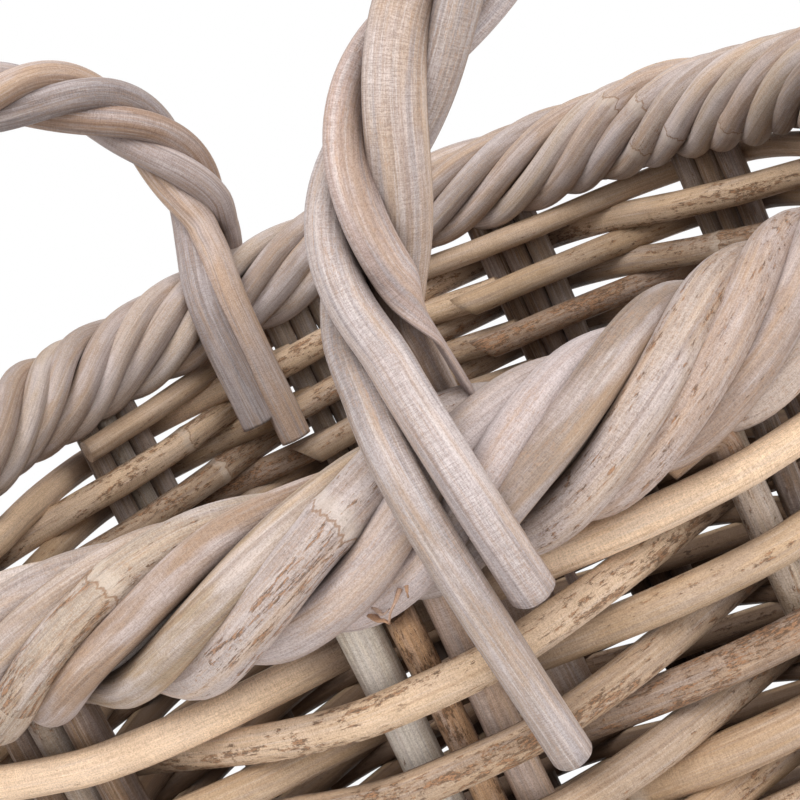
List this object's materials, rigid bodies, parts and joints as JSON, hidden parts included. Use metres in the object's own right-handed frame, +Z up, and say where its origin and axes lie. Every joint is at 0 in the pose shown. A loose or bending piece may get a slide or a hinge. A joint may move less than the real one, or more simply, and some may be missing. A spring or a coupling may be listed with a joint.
{
  "type": "umbrella basket",
  "caption": "Tall round woven cane basket for umbrellas, with a rope-like rolled rim, twisted loop handles and a foot ring.",
  "frame": {"origin": "centre of the basket on the floor that its foot ring stands on", "axes": "+Z up along the basket's axis; the X axis runs through the rim between the handles, which stand on the -Y and +Y sides"},
  "size_m": [0.3256, 0.3248, 0.5649],
  "materials": {
    "stake_cane": "weathered, unpeeled cane",
    "weaver_cane": "matt golden to grey cane",
    "border_cane": "matt grey-washed cane",
    "handle_cane": "matt grey-washed cane",
    "base_cane": "matt cane"
  },
  "bodies": {
    "root": {"base_panel": "base_cane", "border_strand_1": "border_cane", "border_strand_2": "border_cane", "border_strand_3": "border_cane", "border_strand_4": "border_cane", "border_strand_5": "border_cane", "border_strand_6": "border_cane", "border_strand_7": "border_cane", "border_strand_8": "border_cane", "foot_ring": "border_cane", "handle_1_strand_1": "handle_cane", "handle_1_strand_2": "handle_cane", "handle_1_strand_3": "handle_cane", "handle_1_strand_4": "handle_cane", "handle_2_strand_1": "handle_cane", "handle_2_strand_2": "handle_cane", "handle_2_strand_3": "handle_cane", "handle_2_strand_4": "handle_cane", "stake_10_1": "stake_cane", "stake_10_2": "stake_cane", "stake_10_3": "stake_cane", "stake_11_1": "stake_cane", "stake_11_2": "stake_cane", "stake_11_3": "stake_cane", "stake_12_1": "stake_cane", "stake_12_2": "stake_cane", "stake_12_3": "stake_cane", "stake_13_1": "stake_cane", "stake_13_2": "stake_cane", "stake_13_3": "stake_cane", "stake_1_1": "stake_cane", "stake_1_2": "stake_cane", "stake_1_3": "stake_cane", "stake_2_1": "stake_cane", "stake_2_2": "stake_cane", "stake_2_3": "stake_cane", "stake_3_1": "stake_cane", "stake_3_2": "stake_cane", "stake_3_3": "stake_cane", "stake_4_1": "stake_cane", "stake_4_2": "stake_cane", "stake_4_3": "stake_cane", "stake_5_1": "stake_cane", "stake_5_2": "stake_cane", "stake_5_3": "stake_cane", "stake_6_1": "stake_cane", "stake_6_2": "stake_cane", "stake_6_3": "stake_cane", "stake_7_1": "stake_cane", "stake_7_2": "stake_cane", "stake_7_3": "stake_cane", "stake_8_1": "stake_cane", "stake_8_2": "stake_cane", "stake_8_3": "stake_cane", "stake_9_1": "stake_cane", "stake_9_2": "stake_cane", "stake_9_3": "stake_cane", "weaver_1": "weaver_cane", "weaver_2": "weaver_cane", "weaver_3": "weaver_cane"}
  },
  "joints": []
}
